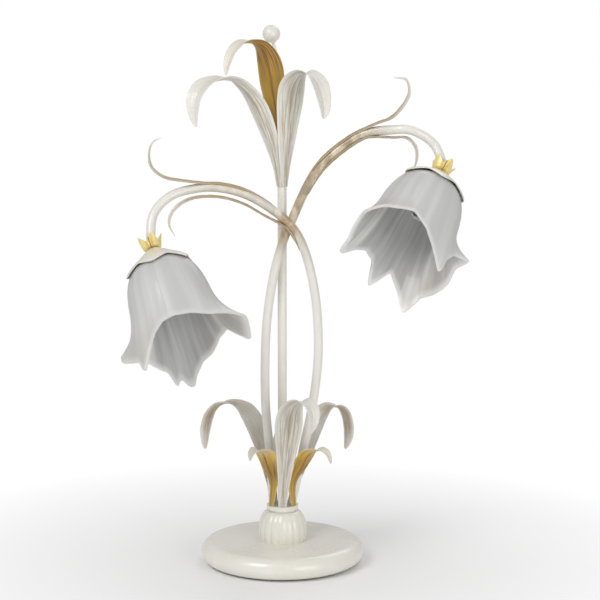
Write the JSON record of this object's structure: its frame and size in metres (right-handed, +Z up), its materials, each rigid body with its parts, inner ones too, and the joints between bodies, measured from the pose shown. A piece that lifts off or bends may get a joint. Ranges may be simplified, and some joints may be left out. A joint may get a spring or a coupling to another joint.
{
  "type": "table lamp",
  "caption": "Table lamp in painted ironwork: weighted round base, crossing curved arms, pressed curling leaves, a ball finial and hanging flower-shaped frosted glass shades.",
  "frame": {"origin": "middle of the felt's underside, on the table", "axes": "+Z up, the front with the crossing arms and the open glasses towards -Y, +X to the viewer's right"},
  "size_m": [0.3674, 0.2652, 0.6015],
  "materials": {
    "ivory_paint": "gloss ivory enamel",
    "steel": "bright zinc",
    "weight_iron": "black",
    "felt": "dark green felt",
    "black_plastic": "matte",
    "white_plastic": "matte",
    "cream_plastic": "gloss",
    "brass": "plain brass",
    "gilt": "brushed gold paint with brown glaze",
    "streaked_paint": "ivory with brown and gold brush streaks",
    "frosted_glass": "frosted, translucent",
    "clear_glass": "clear",
    "bulb_metal": "plain"
  },
  "bodies": {
    "lamp": {"ball_finial": "ivory_paint", "base_closing_plate": "steel", "base_disc": "ivory_paint", "base_nut": "steel", "base_washer": "steel", "base_weight": "weight_iron", "centre_stem": "ivory_paint", "closing_plate_screws": "steel", "cord_inlet_bush": "black_plastic", "felt_pad": "felt", "fluted_neck": "ivory_paint", "gilt_leaf_back": "gilt", "gilt_leaf_left": "gilt", "gilt_leaf_right": "gilt", "gilt_top_leaf": "gilt", "left_arm_lead": "white_plastic", "left_arm_lower_leaf": "gilt", "left_arm_tube": "ivory_paint", "left_arm_upper_leaf": "gilt", "left_calyx": "ivory_paint", "left_centre_contact": "brass", "left_crown": "gilt", "left_holder_body": "cream_plastic", "left_holder_cap": "cream_plastic", "left_holder_core": "white_plastic", "left_holder_nipple": "brass", "left_screw_shell": "brass", "left_shade_ring": "cream_plastic", "long_leaf_front": "streaked_paint", "long_leaf_left": "streaked_paint", "long_leaf_right": "streaked_paint", "pistil_rod": "ivory_paint", "right_arm_lead": "white_plastic", "right_arm_lower_leaf": "gilt", "right_arm_tube": "ivory_paint", "right_arm_upper_leaf": "gilt", "right_calyx": "ivory_paint", "right_centre_contact": "brass", "right_crown": "gilt", "right_holder_body": "cream_plastic", "right_holder_cap": "cream_plastic", "right_holder_core": "white_plastic", "right_holder_nipple": "brass", "right_screw_shell": "brass", "right_shade_ring": "cream_plastic", "stem_hub": "ivory_paint", "stem_plug": "ivory_paint", "terminal_block": "white_plastic", "terminal_screws": "brass", "tie_rod": "steel", "top_leaf_left": "streaked_paint", "top_leaf_right": "streaked_paint"},
    "left_shade": {"left_glass_shade": "frosted_glass"},
    "right_shade": {"right_glass_shade": "frosted_glass"},
    "left_bulb": {"left_bulb_cap": "bulb_metal", "left_bulb_glass": "clear_glass"},
    "right_bulb": {"right_bulb_cap": "bulb_metal", "right_bulb_glass": "clear_glass"}
  },
  "joints": [
    {"name": "left_shade_turn", "type": "hinge", "parent": "lamp", "child": "left_shade", "pos_m": [-0.1376, -0.0686, 0.3635], "axis": [0.3173, -0.4842, -0.8154], "continuous": true},
    {"name": "left_bulb_slide", "type": "slide", "parent": "lamp", "child": "left_bulb", "axis": [0.3173, -0.4842, -0.8154], "range_m": [0, 0.024]},
    {"name": "right_shade_turn", "type": "hinge", "parent": "lamp", "child": "right_shade", "pos_m": [0.1705, -0.0463, 0.4444], "axis": [-0.3987, -0.5858, -0.7056], "continuous": true},
    {"name": "right_bulb_slide", "type": "slide", "parent": "lamp", "child": "right_bulb", "axis": [-0.3987, -0.5858, -0.7056], "range_m": [0, 0.024]}
  ]
}
